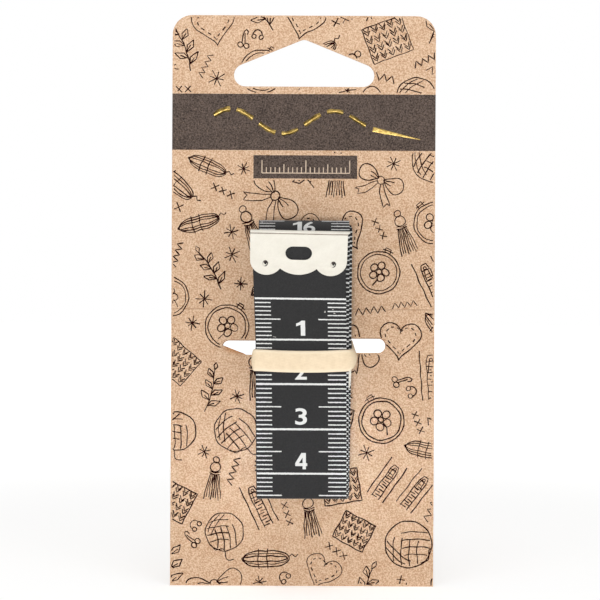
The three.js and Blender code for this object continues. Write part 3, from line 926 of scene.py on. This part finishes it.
def freeLine():  # the free end from its tip to the foot of its bend, with its root and direction
    flare, steps = tape["flare"], tape["freeSteps"]
    radius, depth = tape["bend"] / flare, tapeDepths[frontLayer]
    bendFoot = tape["root"] - radius * sin(flare)
    top = Vector((depth + radius * (1 - cos(flare)), tape["root"]))
    along = Vector((sin(flare), cos(flare)))
    straight = tape["freeLength"] - tape["tipHalf"]
    shiftFront, shiftTip = tape["lean"]
    line = []
    for i in range(steps):
        spot = top + along * straight * (1 - i / steps)
        line.append((spot.x, spot.y, shiftFront + (shiftTip - shiftFront) * (1 - i / steps)))
    for i in range(tape["bendSteps"]):
        angle = flare * (1 - i / tape["bendSteps"])
        line.append((depth + radius * (1 - cos(angle)), bendFoot + radius * sin(angle), shiftFront))
    return line + leaf(frontLayer, bendFoot, 0, tape["finePitch"]), top, along


def domeLine():  # the turn over the top
    line, power, steps = [], tape["domePower"], tape["domeSteps"]
    for i in range(1, steps):
        angle = pi * i / steps
        across = copysign(abs(cos(angle)) ** (2 / power), cos(angle))
        line.append((domeFront - domeDeep * ((1 - across) / 2) ** tape["domeSkew"],
                     tape["domeBase"] + tape["domeHeight"] * sin(angle) ** (2 / power), tape["topShift"]))
    return line


def innerLine():  # the layers behind, and the inner end
    line, z = [], tape["domeBase"]
    for layer in range(innerLayer):
        goingDown = layer % 2 == 0
        stop = footHeight(layer, layer + 1) if goingDown else min(headHeight(layer), headHeight(layer + 1))
        line += leaf(layer, z, stop) + fold(layer, layer + 1, stop, -1 if goingDown else 1)
        z = stop
    foot, top, steps = tape["innerFoot"], tape["innerTop"] - tape["tipHalf"], tape["endSteps"]
    line += leaf(innerLayer, z, foot)
    for i in range(1, steps + 1):
        z = foot + (top - foot) * i / steps
        line.append((depthAt(innerLayer, foot), z, tape["innerShift"] - (top - z) * tape["innerTurn"]))
    return line


def facesOfLine(line):  # both faces of the tape beside its line, and the length run so far
    faces, run, length, sharpest = [], [], tape["tipHalf"], 0.6
    for i, (w, z, shift) in enumerate(line):
        here = Vector((w, z))
        before = Vector(line[i - 1][:2]) if i else None
        after = Vector(line[i + 1][:2]) if i + 1 < len(line) else None
        arriving = (here - before).normalized() if before else (after - here).normalized()
        leaving = (after - here).normalized() if after else arriving
        along = (arriving + leaving).normalized()
        out = Vector((-along.y, along.x)) * tape["thickness"] / 2 / max(along.dot(arriving), sharpest)
        if before:
            length += (here - before).length
        faces.append((here + out, here - out, shift))
        run.append(length)
    return faces, run


tapePath, rootSpot, freeAlong = freeLine()  # (w, z, sideways) from the free end's tip to the inner end
tapeSplit = len(tapePath) - 1
frontFoot = footHeight(frontLayer, secondLayer)
tapePath += leaf(frontLayer, -1, frontFoot) + fold(frontLayer, secondLayer, frontFoot, -1)
tapePath += leaf(secondLayer, frontFoot, tape["domeBase"], endShift=tape["topShift"])
tapeCrest = len(tapePath) + tape["domeSteps"] // 2 - 1
tapePath += domeLine() + innerLine()
tapeFaces, tapeRun = facesOfLine(tapePath)
backMark, backAt = tape["crestMark"][0], tapeRun[tapeCrest] - tape["crestMark"][1]


def tapeStrip(name, first, last):  # with its scale in centimetres as v of a UV map
    half, backScale = tape["width"] / 2, tape["backScale"]
    edgeLow, edgeHigh, cutAt = tape["cutEdge"]
    points, faces, marks = [], [], []
    for (front, back, shift), run in zip(tapeFaces[first:last + 1], tapeRun[first:last + 1]):
        askew = freeAlong * half * tape["turn"] * max(0, 1 - run / tape["askewReach"])
        for side, spot in ((-1, front + askew), (1, front - askew), (1, back - askew), (-1, back + askew)):
            points.append((shift + side * half, cardFront - spot.x, bandHeight + spot.y))
    for i in range(last - first):
        a, b = 4 * i, 4 * i + 4
        runs = tapeRun[first + i:first + i + 2]
        v0, v1 = [(run - tape["zeroMark"]) / 10 for run in runs]
        u0, u1 = [backScale + backMark + (backAt - run) / 10 for run in runs]
        c0, c1 = -v0 - cutAt, -v1 - cutAt
        faces += [(a, b, b + 1, a + 1), (a + 2, b + 2, b + 3, a + 3),  # printed face and back
                  (a + 1, b + 1, b + 2, a + 2), (a + 3, b + 3, b, a)]  # cut edges
        marks += [((0, v0), (0, v1), (1, v1), (1, v0)), ((1, u0), (1, u1), (0, u1), (0, u0)),
                  ((edgeHigh, c0), (edgeHigh, c1), (edgeLow, c1), (edgeLow, c0)),
                  ((edgeLow, c0), (edgeLow, c1), (edgeHigh, c1), (edgeHigh, c0))]
    end = 4 * (last - first)
    faces += [(0, 1, 2, 3), (end + 3, end + 2, end + 1, end)]
    marks += [((edgeHigh, -cutAt),) * 4] * 2
    obj = newMesh(name, points, faces)
    layer = obj.data.uv_layers.new(name="tapeMarks")
    for face, corners in zip(obj.data.polygons, marks):
        for loop, uv in zip(face.loop_indices, corners):
            layer.data[loop].uv = uv
    smoothShade(obj, 50)
    return obj


clothLook = {
    "black": (0.0132, 0.013, 0.0136, 1), "worn": (0.0255, 0.0252, 0.026, 1), "ink": (0.68, 0.683, 0.67, 1),
    "speck": (0.34, 0.33, 0.31, 1),
    "tick": 0.125, "line": 0.21, "blur": 0.05, "margin": 0.16, "start": -0.4,  # mm
    "left": (3.6, 5.65), "right": (4.03, 6.1),  # lengths of a tick and of a half centimetre's tick, mm
}


def makeTapeCloth():
    material, place, surface = newMaterial("blackCloth", 0.6, 0.13)
    surface["Sheen Weight"].default_value = 0.25
    u, v, _ = split(addNode(material.node_tree, "UVMap", uv_map="tapeMarks").outputs[0])
    width, length = times(u, tape["width"]), times(v, 10.0)  # mm
    rough = times(minus(noise(place, 4200.0, 2.0), 0.5), 0.2)
    across, along = plus(width, times(rough, 1.6)), plus(length, rough)

    def off(value, pitch, start=0.0):  # mm to the nearest mark of a pitch
        share = over(minus(value, start), pitch)
        return times(absolute(minus(share, nearest(share))), pitch)

    def beside(step):  # 1 near both edges
        return most(lessThan(across, clothLook["left"][step]),
                    moreThan(across, tape["width"] - clothLook["right"][step]))

    def mark(distance, half):  # soft-edged line
        return remap(distance, half - clothLook["blur"], half + clothLook["blur"], 1.0, 0.0, smooth=True)

    ticks = times(mark(off(along, 1.0), clothLook["tick"]), beside(0))
    halves = times(mark(off(along, 10.0, 5.0), clothLook["tick"]), beside(1))
    marks = most(most(ticks, halves), mark(off(along, 10.0), clothLook["line"]))
    marks = times(marks, moreThan(along, clothLook["start"]))
    marks = times(marks, moreThan(across, clothLook["margin"]))
    cover = useGroup(inkCover, Vector=place, Size=4200.0, Loss=0.2)["Cover"]
    marks = times(marks, remap(cover, 0, 1, 0.5, 1.0))
    threads = joinNode("CombineXYZ", {"X": width, "Y": length})[0]
    weave = useGroup(threadWeave, Vector=threads, Threads=1.6)["Height"]
    dust = noise(place, 2600.0, 4.0, 0.7)
    cloth = mixColour(remap(dust, 0.3, 0.75), clothLook["black"], clothLook["worn"])
    specks = remap(noise(place, 1150.0, 0.0), 0.85, 0.87, smooth=True)
    cloth = mixColour(specks, cloth, clothLook["speck"])
    coat(surface, mixColour(marks, cloth, clothLook["ink"]), remap(dust, 0.25, 0.75, 0.55, 0.7),
         bump(plus(times(weave, 0.5), plus(dust, marks)), 0.3, 0.00004))
    return material


blackCloth = makeTapeCloth()
tapeFront = tapeStrip("tapeFront", 0, tapeSplit)
tapeHank = tapeStrip("tapeHank", tapeSplit, len(tapePath) - 1)
for strip in (tapeFront, tapeHank):
    wear(strip, blackCloth)
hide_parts("tape_free_end")
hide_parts("tape_hank")
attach(tapeHank, "hank")


# Figures on the tape

figures = {
    "height": 3.7, "digitWidth": 2.6, "digitGap": 0.32, "bold": 0.016, "cut": 0.3, "weld": 0.002,  # mm
    "drawnHalf": 0.01, "thickness": 0.02, "beforeLine": 2.85,
    "ink": (0.64, 0.643, 0.63, 1), "inkThin": (0.36, 0.36, 0.355, 1),
    "drawn": {  # corners and faces of the plain digits, mm
        "1": ([(0.98, -1.85), (0.98, 1.85), (0.2, 1.85), (-0.3, 1.4), (-0.98, 1.12), (-0.98, 0.45),
               (0.0, 0.85), (0.0, -1.85)], [tuple(range(8))]),
        "4": ([(-1.32, -1.12), (0.3, -1.12), (0.3, -1.85), (1.02, -1.85), (1.02, -1.12), (1.32, -1.12),
               (1.32, -0.46), (1.02, -0.46), (1.02, 1.85), (0.3, 1.85), (0.05, 1.85), (-1.32, -0.46),
               (-0.52, -0.46), (0.3, -0.46), (0.3, 0.82)],
              [(11, 12, 14, 9, 10), (2, 3, 4, 7, 8, 9, 14, 13, 1), (0, 1, 13, 12, 11), (4, 5, 6, 7)]),
    },
    "blendHalf": 2.5,  # mm of tape on each side of the root that would take the bend when the end is lifted
}


def spotOnTape(run, sideways, above, back):  # place on the tape's printed or back face
    i = max(j for j in range(len(tapeRun) - 1) if j == 0 or tapeRun[j] <= run)
    share = (run - tapeRun[i]) / (tapeRun[i + 1] - tapeRun[i])
    face = 1 if back else 0
    start, stop = tapeFaces[i][face], tapeFaces[i + 1][face]
    along = (stop - start).normalized()
    out = Vector((along.y, -along.x)) if back else Vector((-along.y, along.x))
    shift = tapeFaces[i][2] + (tapeFaces[i + 1][2] - tapeFaces[i][2]) * share
    spot = start.lerp(stop, share) + out * above
    return Vector((shift + sideways, cardFront - spot.x, bandHeight + spot.y)) * mm


def plainDigit(digit):  # drawn from its own corners
    corners, faces = figures["drawn"][digit]
    half = figures["drawnHalf"]
    obj = newMesh("digit", [(x, y, -half) for x, y in corners], faces, 1)
    editParts(obj, bpy.ops.mesh.extrude_region_move, TRANSFORM_OT_translate={"value": (0, 0, 2 * half)})
    return obj


def textDigit(digit):
    clearSelection()
    bpy.ops.object.text_add()
    setAll(bpy.context.object.data, {"body": digit, "offset": figures["bold"], "extrude": figures["drawnHalf"],
                                     "resolution_u": 5})
    bpy.ops.object.convert(target="MESH")
    return bpy.context.object


def cutDigit():  # welds it and cuts it across, so that it can bend
    bpy.ops.mesh.remove_doubles(threshold=figures["weld"])
    y = -figures["height"] / 2 + figures["cut"]
    while y < figures["height"] / 2:
        bpy.ops.mesh.select_all(action="SELECT")
        bpy.ops.mesh.bisect(plane_co=(0, y, 0), plane_no=(0, 1, 0))
        y += figures["cut"]


def makeDigit(digit):  # one flat digit, upright in x and y, in mm, and its width
    drawn = digit in figures["drawn"]
    obj = plainDigit(digit) if drawn else textDigit(digit)
    xs, ys = [v.co.x for v in obj.data.vertices], [v.co.y for v in obj.data.vertices]
    wide = max(xs) - min(xs) if drawn else figures["digitWidth"]
    obj.data.transform(Matrix.Translation((-(min(xs) + max(xs)) / 2, -(min(ys) + max(ys)) / 2, 0)))
    applyPlace(obj, scale=(wide / (max(xs) - min(xs)), figures["height"] / (max(ys) - min(ys)),
                           figures["thickness"] / figures["drawnHalf"]))
    editParts(obj, cutDigit)
    return obj, wide


def makeFigure(number, run, back):
    digits = [makeDigit(digit) for digit in str(number)]
    gap = figures["digitGap"]
    left = -(sum(wide for _, wide in digits) + gap * (len(digits) - 1)) / 2
    for obj, wide in digits:
        for corner in obj.data.vertices:
            along = run + corner.co.y if back else run - corner.co.y
            corner.co = spotOnTape(along, corner.co.x + left + wide / 2, corner.co.z, back)
        left += wide + gap
    return [obj for obj, _ in digits]


def joinFigures(name, objs):
    clearSelection()
    for obj in objs:
        obj.select_set(True)
    bpy.context.view_layer.objects.active = joined = objs[0]
    bpy.ops.object.join()
    joined.name = name
    editParts(joined, bpy.ops.mesh.normals_make_consistent, inside=False)
    joined.data.materials.clear()
    wear(joined, whiteInk)
    return joined


whiteInk = makeInk("whiteInk", figures["ink"], figures["inkThin"], 0.24, 3600.0, 0.55)
scaleStart = tape["zeroMark"] - figures["beforeLine"]
backStart = backAt + figures["beforeLine"] + 10 * backMark
frontFigures = makeFigure(1, scaleStart + 10, False) + makeFigure(26, backStart - 260, True)
hankFigures = []
for number in (2, 3, 4):
    hankFigures += makeFigure(number, scaleStart + 10 * number, False)
for number in range(19, 9, -1):
    hankFigures += makeFigure(number, backStart - 10 * number, True)
figuresFront = joinFigures("figuresFront", frontFigures)
figuresHank = joinFigures("figuresHank", hankFigures)
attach(figuresHank, "hank")
for piece in (tapeFront, figuresFront):
    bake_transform(piece)
print("figures:", len(figuresHank.data.polygons) + len(figuresFront.data.polygons), "faces")


# Metal tips

tip = {
    "round": 0.1, "crease": (0.3, 0.72), "creaseWall": 0.03, "creaseDepth": 0.06, "slack": 0.01,  # mm
    "rollFrom": 9, "rollOut": 0.45,  # the roll runs a little past the face
    "dents": (7.3, 7.7), "dentSize": (0.66, 0.46, 0.88), "dentShift": 0.2, "dentShade": -0.06, "turn": 0.017,
    "hole": (3.1, -7.4, -3.5), "holeLip": 0.2, "faceSlack": 0.02,
    "facing": 0.9, "steep": 0.35, "flat": -0.999,  # of a face's direction towards the front
    "light": (0.72, 0.688, 0.612, 1), "dark": (0.66, 0.628, 0.552, 1),
    "creaseLight": (0.36, 0.32, 0.27, 1), "creaseDark": (0.22, 0.19, 0.155, 1),
    "punchLight": (0.07, 0.05, 0.042, 1), "punchDark": (0.035, 0.024, 0.02, 1),
}


def makePlating(name, light, dark, metallic):
    material, place, surface = newMaterial(name, 0.36, Metallic=metallic)
    brushed = noise(turned(place, (0, 0.75, 0), (1, 1, 14)), 5200.0, 2.0)
    cloud = noise(place, 420.0, 3.0)
    tone = plus(times(cloud, 0.6), times(brushed, 0.4))
    rough = plus(remap(brushed, 0.3, 0.7, 0.3, 0.44), remap(cloud, 0.3, 0.7, -0.03, 0.03))
    coat(surface, mixColour(remap(tone, 0.34, 0.66), light, dark), rough, bump(brushed, 0.15, 0.00003))
    return material


def workTip(obj):  # crease, roll, hole and punched points of a tip that lies upright, its top at the origin
    first, last = tip["crease"]
    slack, (dentX, dentZ) = tip["slack"], tip["dents"]
    wide, low, high = tip["hole"]

    def paint(index):
        obj.active_material_index = index
        bpy.ops.object.material_slot_assign()

    def pressCrease():
        bpy.ops.mesh.inset(thickness=tip["creaseWall"] * mm, depth=-tip["creaseDepth"] * mm)
        paint(1)

    def inCrease(part):
        z = part.calc_center_median().z / mm
        return abs(part.normal.y) > tip["facing"] and -last - slack < z < -first + slack

    def onRoll(corner):
        return corner.co.x > tip["rollFrom"] * mm and corner.co.z > (-first - slack) * mm

    def byHole(spot):
        return abs(spot.x / mm) < wide and low < spot.z / mm < high and spot.y < face + tip["faceSlack"] * mm

    def inDent(part):  # the shaded upper half and the thin rim of a punched point
        spot, faced = part.calc_center_median(), part.normal.y
        x, z = abs(spot.x / mm - tip["dentShift"]) - dentX, spot.z / mm + dentZ
        shaded = abs(faced) < tip["steep"] or z > tip["dentShade"]
        return shaded and faced > tip["flat"] and hypot(x, z) < tip["dentSize"][2]

    editParts(obj, bpy.ops.mesh.dissolve_limited, angle_limit=radians(1))
    for drop in tip["crease"]:
        editParts(obj, bpy.ops.mesh.bisect, plane_co=(0, 0, -drop * mm), plane_no=(0, 0, 1))
    editParts(obj, pressCrease, inCrease)
    editParts(obj, bpy.ops.transform.translate, onRoll, "VERT", value=(tip["rollOut"] * mm, 0, 0))
    face = min(corner.co.y for corner in obj.data.vertices)
    editParts(obj, bpy.ops.mesh.bevel,
              lambda edge: all(byHole(corner.co) for corner in edge.verts) and edge.calc_face_angle(0) > 1,
              "EDGE", offset=tip["holeLip"] * mm, segments=2)
    for side in (-1, 1):
        spot = Vector((side * dentX + tip["dentShift"], face / mm, -dentZ)) * mm
        ball = addShape("punch", bpy.ops.mesh.primitive_uv_sphere_add, segments=24, ring_count=12, radius=1,
                        location=spot, scale=Vector(tip["dentSize"]) * mm)
        addModifier(obj, "BOOLEAN", operation="DIFFERENCE", object=ball, solver="EXACT")
        bpy.data.objects.remove(ball)
    editParts(obj, paint, inDent, index=2)
    addModifier(obj, "BEVEL", width=tip["round"] * mm, segments=2, limit_method="ANGLE",
                angle_limit=radians(32))
    smoothShade(obj, 40)


def makeTip(name, nodeName, body, sideways, tilt, turn, lift=0):
    obj = copyOfNode(name, nodeName)
    rise, across = Vector((0, -sin(tilt), cos(tilt))), Vector((0, cos(tilt), sin(tilt)))
    ends = [corner.co.dot(rise) for corner in obj.data.vertices]
    depths = [corner.co.dot(across) for corner in obj.data.vertices]
    top = rise * max(ends) + across * (min(depths) + max(depths)) / 2
    applyPlace(obj, location=-top)
    applyPlace(obj, rotation_euler=(-tilt, 0, 0))
    wear(obj, plating, creaseShade, punchShade)
    workTip(obj)
    applyPlace(obj, rotation_euler=(0, turn, 0))
    applyPlace(obj, rotation_euler=(tilt, 0, 0), location=top + Vector((sideways, 0, lift)) * mm)
    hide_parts(nodeName)
    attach(obj, body)
    print(name, len(obj.data.polygons), "faces")


plating = makePlating("ivoryPlating", tip["light"], tip["dark"], 0.2)
creaseShade = makePlating("creaseShade", tip["creaseLight"], tip["creaseDark"], 0.3)
punchShade = makePlating("punchShade", tip["punchLight"], tip["punchDark"], 0.3)
makeTip("freeTip", "free_end_tip", "free_end", tape["tipShift"], tape["flare"], tip["turn"])
makeTip("innerTip", "inner_end_tip", "hank", tape["innerShift"], 0, tape["innerTurn"], tape["innerRise"])


# Elastic band: a flat strap round the hank, through both slots and behind the card

band = {
    "thickness": 0.5, "bead": 0.05, "beadAt": (0.86, 0.12), "highlightFrom": 0.9, "sides": 36, "smooth": 8,
    "section": (0.4, 0.7),  # powers that square the strap's oval section
    # pale is the colour of the painted highlight along the strap's long edges
    "light": (0.785, 0.645, 0.46, 1), "dark": (0.70, 0.555, 0.375, 1), "pale": (0.82, 0.70, 0.53, 1),
    # x, mm in front of the card, lift, width, cupping of the strap from the front's middle round to the back's
    "right": [(0, 13.35, -0.28, 4.8, 0.1), (4.5, 13.35, -0.22, 4.8, 0.1), (8.0, 13.34, -0.06, 4.8, 0.16),
              (9.5, 13.2, 0, 4.8, 0.35), (10.3, 12.6, 0.08, 4.7, 0.7), (10.72, 11.7, 0.26, 4.5, 0.95),
              (10.92, 10.4, 0.5, 4.2, 0.9), (11.0, 8, 0.95, 3.9, 0.75), (11.1, 5, 1.65, 3.5, 0.45),
              (11.1, 2.2, 2.3, 3.2, 0.15), (11.1, 0.4, 2.85, 2.65, 0), (11.1, -0.5, 2.9, 2.6, 0),
              (10.85, -1.05, 2.9, 2.6, 0), (10.1, -1.2, 2.9, 2.7, 0), (5, -1.2, 2.9, 3.7, 0)],
    "left": [(0, -1.2, 2.9, 4.8, 0), (-5, -1.2, 2.6, 3.7, 0), (-9.4, -1.2, 2.35, 2.7, 0),
             (-10.0, -1.05, 2.35, 2.6, 0), (-10.2, -0.5, 2.35, 2.6, 0), (-10.2, 0.4, 2.3, 2.65, 0),
             (-10.2, 2.2, 1.85, 3.2, 0.05), (-10.22, 5, 1.15, 3.9, 0.1), (-10.28, 8, 0.5, 4.4, 0.2),
             (-10.5, 10.6, 0.15, 4.65, 0.3), (-10.72, 12.2, 0.03, 4.75, 0.36), (-10.58, 12.95, 0, 4.8, 0.3),
             (-9.9, 13.32, 0, 4.8, 0.2), (-8.2, 13.35, -0.06, 4.8, 0.12), (-4.5, 13.35, -0.22, 4.8, 0.1)],
}


def makeElastic():
    material, place, surface = newMaterial("creamElastic", 0.62, 0.3)
    along = turned(place, (pi / 2, 0, 0), (0.0025, 0.0006, 0.0025))
    ribs = useGroup(threadWeave, Vector=along, Threads=1.0)["Height"]
    cloud = noise(place, 900.0, 4.0, 0.65)
    shade = plus(cloud, times(ribs, 0.05))
    cream = mixColour(remap(shade, 0.3, 0.72), band["dark"], band["light"])
    # painted highlight: the strap is paler along its long edges and beads
    edge = times(cornerValue(material, "edgeHighlight"), 0.7)
    coat(surface, mixColour(edge, cream, band["pale"]), remap(cloud, 0.3, 0.7, 0.55, 0.72),
         bump(plus(cloud, times(ribs, 0.4)), 0.25, 0.00006))
    return material


def smoothLoop(points, count):  # a closed curve through the points
    total = len(points)
    out = []
    for i in range(total):
        near = [points[(i + k - 1) % total] for k in range(4)]
        for t in [j / count for j in range(count)]:
            out.append([0.5 * (2 * b + (c - a) * t + (2 * a - 5 * b + 4 * c - d) * t * t
                               + (3 * b - a - 3 * c + d) * t ** 3) for a, b, c, d in zip(*near)])
    return out


def makeBand():
    stations = smoothLoop(band["right"] + band["left"], band["smooth"])
    total, sides = len(stations), band["sides"]
    (upPower, deepPower), (beadAt, beadWide) = band["section"], band["beadAt"]
    points, faces, edges = [], [], []
    for i, (x, w, lift, width, cup) in enumerate(stations):
        before, after = stations[i - 1], stations[(i + 1) % total]
        along = Vector((after[0] - before[0], after[1] - before[1])).normalized()
        out = Vector((-along.y, along.x))
        for k in range(sides):
            angle = tau * k / sides
            up = copysign(abs(cos(angle)) ** upPower, cos(angle))
            deep = copysign(abs(sin(angle)) ** deepPower, sin(angle))
            edge = exp(-((abs(up) - beadAt) / beadWide) ** 2)
            proud = deep * (band["thickness"] / 2 + band["bead"] * edge) + cup * (1 - up * up)
            points.append((x + out.x * proud, cardFront - w - out.y * proud, bandHeight + lift + up * width / 2))
            # weight of the painted highlight along the beads and the long edges
            edges.append(min(1, edge + (1 if abs(up) > band["highlightFrom"] else 0)))
            here, there, beside = i * sides, (i + 1) % total * sides, (k + 1) % sides
            faces.append((here + k, there + k, there + beside, here + beside))
    obj = newMesh("elasticLoop", points, faces)
    addValues(obj, "edgeHighlight", edges)
    editParts(obj, bpy.ops.mesh.normals_make_consistent, inside=False)
    bpy.ops.object.shade_smooth()
    wear(obj, makeElastic())
    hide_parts("elastic_band")
    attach(obj, "card")
    print("band:", len(obj.data.polygons), "faces")


makeBand()

clearSelection()
